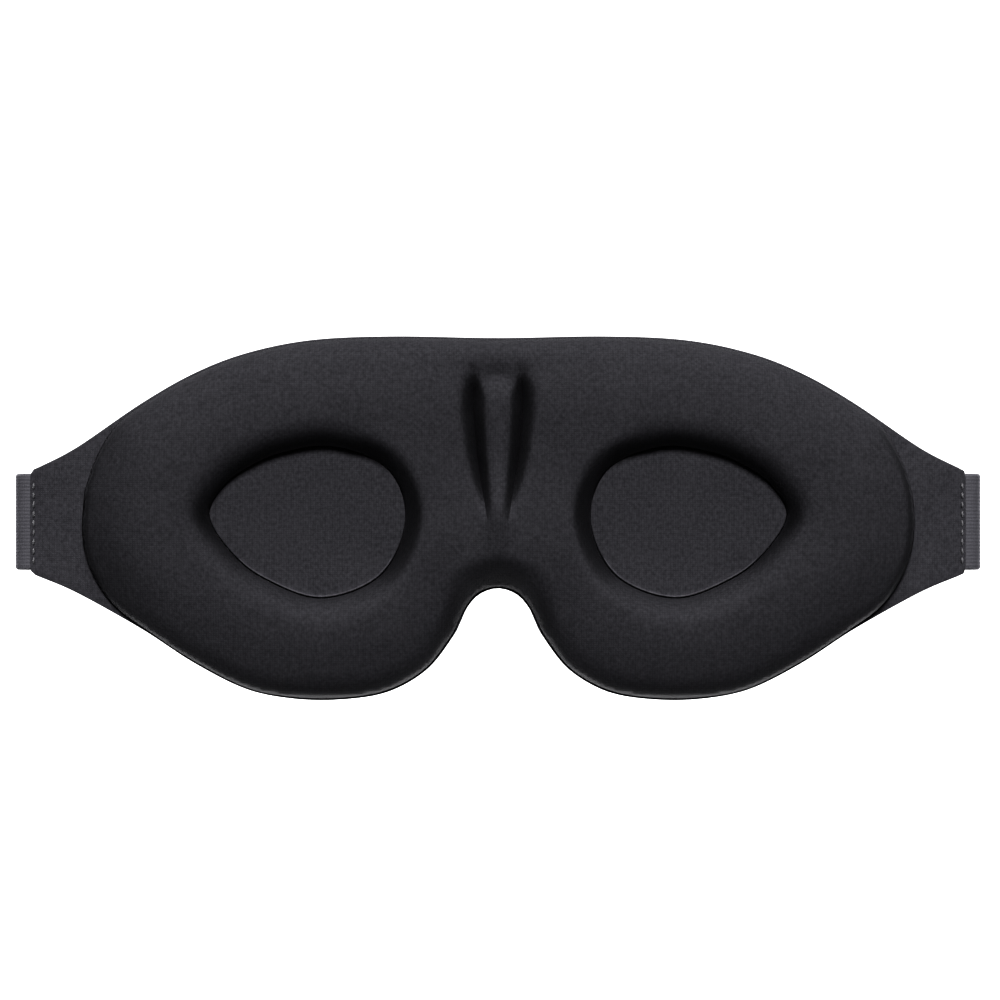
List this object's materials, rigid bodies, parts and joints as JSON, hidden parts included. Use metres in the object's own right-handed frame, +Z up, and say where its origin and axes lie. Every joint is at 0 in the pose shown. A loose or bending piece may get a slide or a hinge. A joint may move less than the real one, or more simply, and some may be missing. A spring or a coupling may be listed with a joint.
{
  "type": "sleep eye mask",
  "caption": "Contoured sleep eye mask with a moulded foam pad, deep flat-bottomed eye cavities, nose notch, cloth wings and an adjustable elastic strap.",
  "frame": {"origin": "middle of the seat over the nose, in the plane of the pad's crest that lies against the face", "axes": "+X to the wearer's right along the mask, -Y towards the face, +Y towards the front of the mask and the strap's run at rest, +Z up as worn"},
  "size_m": [0.24, 0.0769, 0.0898],
  "materials": {
    "cover_cloth": "matt woven polyester",
    "liner_cloth": "matt brushed knit",
    "knit": "matt fine knit",
    "floor_cloth": "matt fine knit, pressed flat",
    "foam": "open-cell foam",
    "elastic": "ribbed elastic",
    "thread": "polyester thread",
    "plastic": "satin black"
  },
  "bodies": {
    "mask": {"outer_fabric": "cover_cloth", "shell_foam": "foam", "liner_fabric": "liner_cloth", "pad_foam": "foam", "pad_skin": "knit", "eye_floor_left": "floor_cloth", "eye_floor_right": "floor_cloth", "strap_end_left": "elastic", "strap_end_right": "elastic", "wing_stitch_left_inner": "thread", "wing_stitch_left_outer": "thread", "wing_stitch_right_inner": "thread", "wing_stitch_right_outer": "thread"},
    "strap": {"short_band": "elastic", "band_stitch": "thread", "ring": "plastic", "long_strap": "elastic", "strap_return": "elastic"},
    "slider": {"slider": "plastic", "strap_end_loop": "elastic", "loop_stitch": "thread"}
  },
  "joints": [
    {"name": "strap_swing", "type": "hinge", "parent": "mask", "child": "strap", "pos_m": [0, 0.0195, 0], "axis": [1, 0, 0], "range_deg": [0, 180]},
    {"name": "slider_slide", "type": "slide", "parent": "strap", "child": "slider", "axis": [1, 0, 0], "range_m": [-0.03, 0.045], "deforming": ["strap_return"]}
  ]
}
